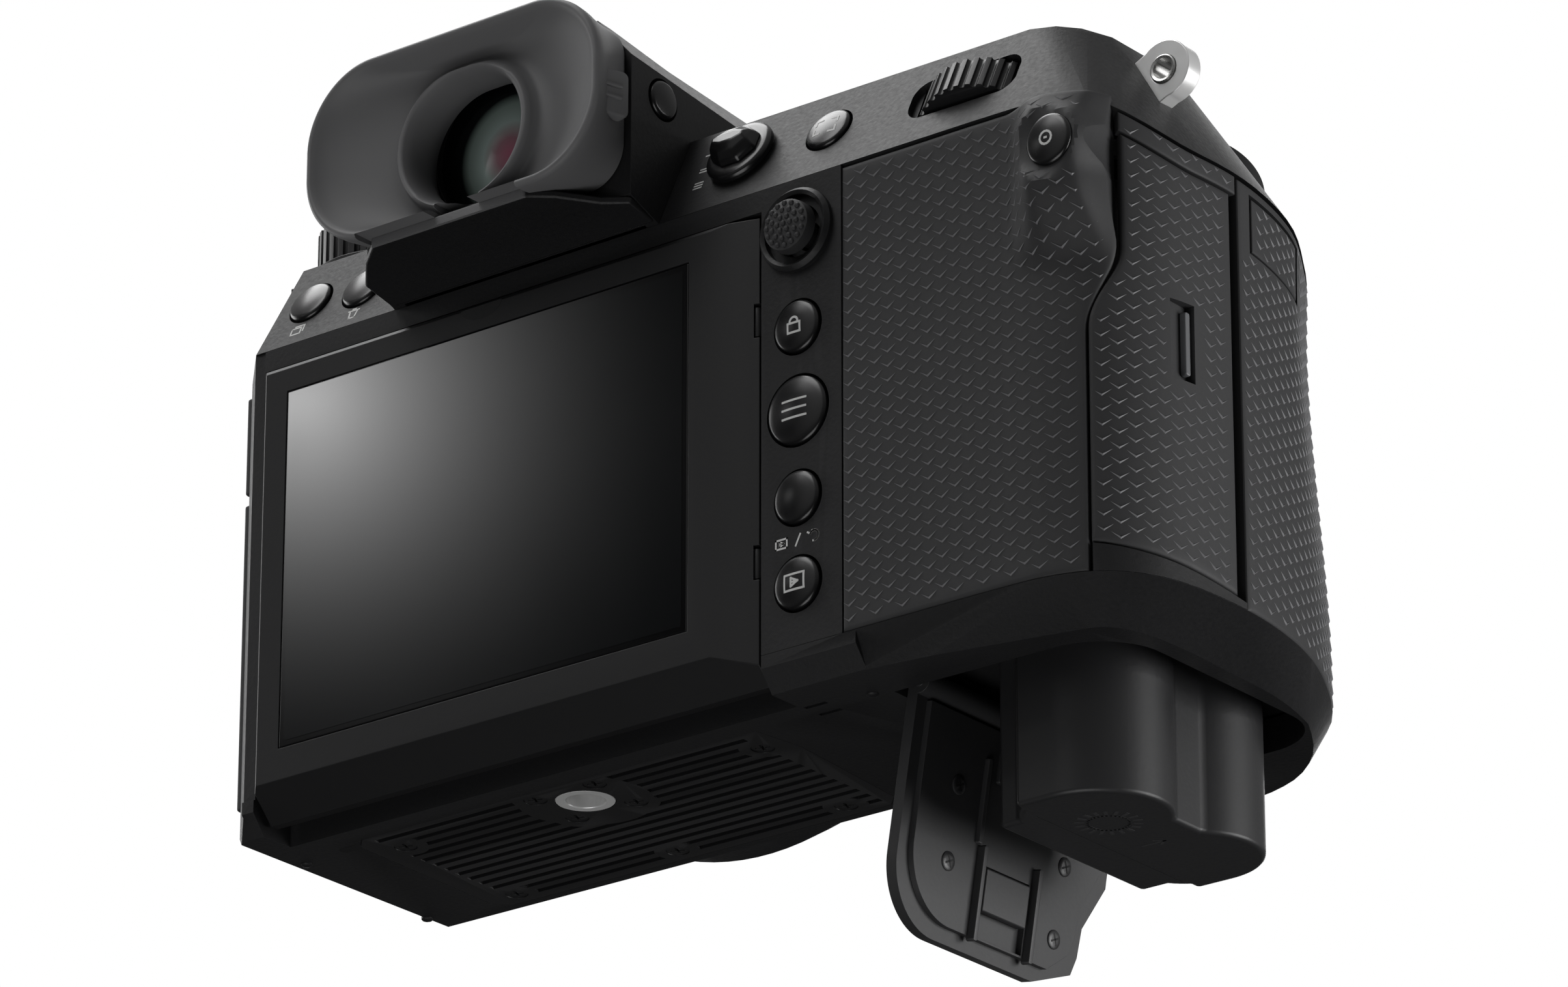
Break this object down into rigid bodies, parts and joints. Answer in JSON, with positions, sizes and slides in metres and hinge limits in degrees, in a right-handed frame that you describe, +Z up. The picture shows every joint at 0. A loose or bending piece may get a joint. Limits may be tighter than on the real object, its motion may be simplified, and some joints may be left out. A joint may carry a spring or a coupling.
{
  "type": "medium format digital camera body",
  "caption": "Mirrorless camera body with a deep rubber grip, tilting rear monitor, eyecup viewfinder, push buttons, dials and an open battery bay under the grip.",
  "frame": {"origin": "centre of the tripod socket's mouth, on the base plane", "axes": "+X to the viewer's right, +Y forward through the lens mount, +Z up; the monitor faces -Y"},
  "size_m": [0.1517, 0.0868, 0.125],
  "materials": {
    "shell": "fine wrinkle",
    "rubber": "embossed matte",
    "soft": "smooth matte",
    "gloss": "polished",
    "matte": "satin",
    "metal": "satin",
    "bright": "polished",
    "steel": "turned",
    "glass": "coated",
    "board": "matte",
    "sensor": "coated"
  },
  "bodies": {
    "camera_body": {"front_cover": "shell", "rear_cover": "shell", "top_cover": "shell", "base_cover": "shell", "tripod_plate": "shell", "tripod_socket": "steel", "plate_screws": "metal", "finder_housing": "shell", "eyepiece_lens": "glass", "hot_shoe": "metal", "sub_monitor": "gloss", "rear_rubber": "rubber", "front_rubber": "rubber", "card_slots": "matte", "battery_chamber": "matte", "lens_mount": "bright", "mount_screws": "bright", "shutter_unit": "metal", "main_board": "board", "strap_lugs": "bright"},
    "eyecup": {"eyecup": "soft"},
    "view_button": {"view_button": "gloss"},
    "diopter_dial": {"diopter_dial": "matte"},
    "mode_dial": {"mode_dial": "metal"},
    "mode_dial_lock": {"mode_dial_lock": "matte"},
    "movie_lever": {"movie_lever": "matte"},
    "drive_button": {"drive_button": "gloss"},
    "delete_button": {"delete_button": "gloss"},
    "shutter_button": {"shutter_button": "gloss"},
    "power_switch": {"power_switch": "matte"},
    "front_dial": {"front_dial": "metal"},
    "rear_dial": {"rear_dial": "metal"},
    "light_button": {"light_button": "gloss"},
    "function_button": {"function_button": "gloss"},
    "focus_lever": {"focus_lever": "gloss"},
    "focus_button": {"focus_button": "gloss"},
    "stick_gimbal": {"stick_gimbal": "matte"},
    "focus_stick": {"focus_stick": "matte"},
    "lock_button": {"lock_button": "gloss"},
    "menu_button": {"menu_button": "gloss"},
    "back_button": {"back_button": "gloss"},
    "play_button": {"play_button": "gloss"},
    "quick_button": {"quick_button": "gloss"},
    "tilt_arm": {"tilt_arm": "metal"},
    "tilt_frame": {"tilt_frame": "metal"},
    "drop_frame": {"drop_frame": "metal"},
    "card_door": {"card_door": "rubber"},
    "card_latch": {"card_latch": "matte"},
    "remote_cover": {"remote_cover": "soft"},
    "battery": {"battery": "matte"},
    "battery_door": {"battery_door": "matte"},
    "door_latch": {"door_latch": "matte"},
    "battery_ejector": {"battery_ejector": "matte"},
    "terminal_door_upper": {"terminal_door_upper": "soft"},
    "terminal_door_lower": {"terminal_door_lower": "soft"},
    "lens_release": {"lens_release": "matte"},
    "lens_lock_pin": {"lens_lock_pin": "steel"},
    "image_sensor": {"image_sensor": "sensor"},
    "monitor": {"monitor_housing": "matte", "monitor_glass": "glass"}
  },
  "joints": [
    {"name": "lock_button_press", "type": "slide", "parent": "camera_body", "child": "lock_button", "axis": [0, 1, 0], "range_m": [0, 0.0006], "stiffness_N_per_m": 500, "springref_m": -0.0004},
    {"name": "menu_button_press", "type": "slide", "parent": "camera_body", "child": "menu_button", "axis": [0, 1, 0], "range_m": [0, 0.0006], "stiffness_N_per_m": 500, "springref_m": -0.0004},
    {"name": "back_button_press", "type": "slide", "parent": "camera_body", "child": "back_button", "axis": [0, 1, 0], "range_m": [0, 0.0006], "stiffness_N_per_m": 500, "springref_m": -0.0004},
    {"name": "play_button_press", "type": "slide", "parent": "camera_body", "child": "play_button", "axis": [0, 1, 0], "range_m": [0, 0.0006], "stiffness_N_per_m": 500, "springref_m": -0.0004},
    {"name": "quick_button_press", "type": "slide", "parent": "camera_body", "child": "quick_button", "axis": [0, 1, 0], "range_m": [0, 0.0006], "stiffness_N_per_m": 500, "springref_m": -0.0004},
    {"name": "drive_button_press", "type": "slide", "parent": "camera_body", "child": "drive_button", "axis": [0, 0.9047, -0.4261], "range_m": [0, 0.0006], "stiffness_N_per_m": 500, "springref_m": -0.0004},
    {"name": "delete_button_press", "type": "slide", "parent": "camera_body", "child": "delete_button", "axis": [0, 0.9047, -0.4261], "range_m": [0, 0.0006], "stiffness_N_per_m": 500, "springref_m": -0.0004},
    {"name": "focus_button_press", "type": "slide", "parent": "camera_body", "child": "focus_button", "axis": [0, 0.9047, -0.4261], "range_m": [0, 0.0006], "stiffness_N_per_m": 500, "springref_m": -0.0004},
    {"name": "light_button_press", "type": "slide", "parent": "camera_body", "child": "light_button", "axis": [0, 0, -1], "range_m": [0, 0.0006], "stiffness_N_per_m": 500, "springref_m": -0.0004},
    {"name": "function_button_press", "type": "slide", "parent": "camera_body", "child": "function_button", "axis": [0, 0, -1], "range_m": [0, 0.0006], "stiffness_N_per_m": 500, "springref_m": -0.0004},
    {"name": "shutter_button_press", "type": "slide", "parent": "camera_body", "child": "shutter_button", "axis": [0, -0.513, -0.8584], "range_m": [0, 0.0012], "stiffness_N_per_m": 500, "springref_m": -0.0004},
    {"name": "view_button_press", "type": "slide", "parent": "camera_body", "child": "view_button", "axis": [-1, 0, 0], "range_m": [0, 0.0006], "stiffness_N_per_m": 500, "springref_m": -0.0004},
    {"name": "lens_release_press", "type": "slide", "parent": "camera_body", "child": "lens_release", "axis": [0, -1, 0], "range_m": [0, 0.0015], "stiffness_N_per_m": 500, "springref_m": -0.0004},
    {"name": "lock_pin_retract", "type": "slide", "parent": "camera_body", "child": "lens_lock_pin", "axis": [0, -1, 0], "range_m": [0, 0.0015]},
    {"name": "mode_dial_lock_press", "type": "slide", "parent": "mode_dial", "child": "mode_dial_lock", "axis": [0, 0, -1], "range_m": [0, 0.0008], "stiffness_N_per_m": 500, "springref_m": -0.0004},
    {"name": "mode_dial_turn", "type": "hinge", "parent": "camera_body", "child": "mode_dial", "pos_m": [-0.036, 0.003, 0.0862], "axis": [0, 0, 1], "continuous": true},
    {"name": "movie_lever_turn", "type": "hinge", "parent": "camera_body", "child": "movie_lever", "pos_m": [-0.036, 0.003, 0.0822], "axis": [0, 0, 1], "range_deg": [0, 30]},
    {"name": "diopter_turn", "type": "hinge", "parent": "camera_body", "child": "diopter_dial", "pos_m": [-0.0187, -0.016, 0.084], "axis": [-1, 0, 0], "range_deg": [-150, 150]},
    {"name": "power_switch_turn", "type": "hinge", "parent": "camera_body", "child": "power_switch", "pos_m": [0.076, 0.031, 0.07463], "axis": [0, 0.513, 0.8584], "range_deg": [0, 35]},
    {"name": "front_dial_turn", "type": "hinge", "parent": "camera_body", "child": "front_dial", "pos_m": [0.076, 0.04186, 0.06441], "axis": [1, 0, 0], "continuous": true},
    {"name": "rear_dial_turn", "type": "hinge", "parent": "camera_body", "child": "rear_dial", "pos_m": [0.072, -0.00755, 0.07139], "axis": [0, 0.4261, 0.9047], "continuous": true},
    {"name": "focus_lever_turn", "type": "hinge", "parent": "camera_body", "child": "focus_lever", "pos_m": [0.0367, -0.01397, 0.0749], "axis": [0, -0.9047, 0.4261], "range_deg": [-25, 25]},
    {"name": "stick_up_down", "type": "hinge", "parent": "camera_body", "child": "stick_gimbal", "pos_m": [0.0482, -0.0147, 0.0602], "axis": [1, 0, 0], "range_deg": [-8, 8], "stiffness_Nm_per_rad": 0.02},
    {"name": "stick_left_right", "type": "hinge", "parent": "stick_gimbal", "child": "focus_stick", "pos_m": [0.0482, -0.0147, 0.0602], "axis": [0, 0, 1], "range_deg": [-8, 8], "stiffness_Nm_per_rad": 0.02},
    {"name": "eyecup_pull", "type": "slide", "parent": "camera_body", "child": "eyecup", "axis": [0, -1, 0], "range_m": [0, 0.012]},
    {"name": "tilt_arm_swing", "type": "hinge", "parent": "camera_body", "child": "tilt_arm", "pos_m": [0, -0.0107, 0.006], "axis": [1, 0, 0], "range_deg": [0, 45]},
    {"name": "tilt_frame_swing", "type": "hinge", "parent": "tilt_arm", "child": "tilt_frame", "pos_m": [0, -0.0119, 0.061], "axis": [1, 0, 0], "range_deg": [-135, 0]},
    {"name": "drop_tilt", "type": "hinge", "parent": "tilt_frame", "child": "drop_frame", "pos_m": [0, -0.0131, 0.0045], "axis": [-1, 0, 0], "range_deg": [-45, 0]},
    {"name": "side_tilt", "type": "hinge", "parent": "drop_frame", "child": "monitor", "pos_m": [0.041, -0.0164, 0.033], "axis": [0, 0, 1], "range_deg": [0, 60]},
    {"name": "card_door_swing", "type": "hinge", "parent": "camera_body", "child": "card_door", "pos_m": [0.0968, 0.0049, 0.035], "axis": [0, 0, 1], "range_deg": [0, 100]},
    {"name": "card_latch_slide", "type": "slide", "parent": "card_door", "child": "card_latch", "axis": [0, -1, 0], "range_m": [0, 0.002], "stiffness_N_per_m": 200, "springref_m": -0.0005},
    {"name": "remote_cover_swing", "type": "hinge", "parent": "camera_body", "child": "remote_cover", "pos_m": [0.09741, 0.01056, 0.057], "axis": [0, 0, -1], "range_deg": [0, 80]},
    {"name": "battery_door_swing", "type": "hinge", "parent": "camera_body", "child": "battery_door", "pos_m": [0.0572, 0.016, 0.0016], "axis": [0, 1, 0], "range_deg": [-99.5, 0], "stiffness_Nm_per_rad": 0.004, "springref_deg": 20.05},
    {"name": "ejector_lift", "type": "slide", "parent": "camera_body", "child": "battery_ejector", "axis": [0, 0, 1], "range_m": [0, 0.0257]},
    {"name": "battery_draw", "type": "slide", "parent": "battery_ejector", "child": "battery", "axis": [0, 0, -1], "range_m": [0, 0.04]},
    {"name": "door_latch_slide", "type": "slide", "parent": "battery_door", "child": "door_latch", "axis": [-0.165, 0, -0.9863], "range_m": [0, 0.003]},
    {"name": "terminal_upper_swing", "type": "hinge", "parent": "camera_body", "child": "terminal_door_upper", "pos_m": [-0.05095, 0.01735, 0.059], "axis": [0, 0, -1], "range_deg": [0, 110]},
    {"name": "terminal_lower_swing", "type": "hinge", "parent": "camera_body", "child": "terminal_door_lower", "pos_m": [-0.05095, 0.01735, 0.029], "axis": [0, 0, -1], "range_deg": [0, 110]},
    {"name": "sensor_shift", "type": "slide", "parent": "camera_body", "child": "image_sensor", "axis": [1, 0, 0], "range_m": [-0.0015, 0.0015], "stiffness_N_per_m": 300}
  ],
  "couplings": [
    {"joint": "tilt_frame_swing", "follows": "tilt_arm_swing", "ratio": -3},
    {"joint": "ejector_lift", "follows": "battery_door_swing", "m_per_rad": -0.014799},
    {"joint": "lock_pin_retract", "follows": "lens_release_press", "ratio": 1}
  ]
}
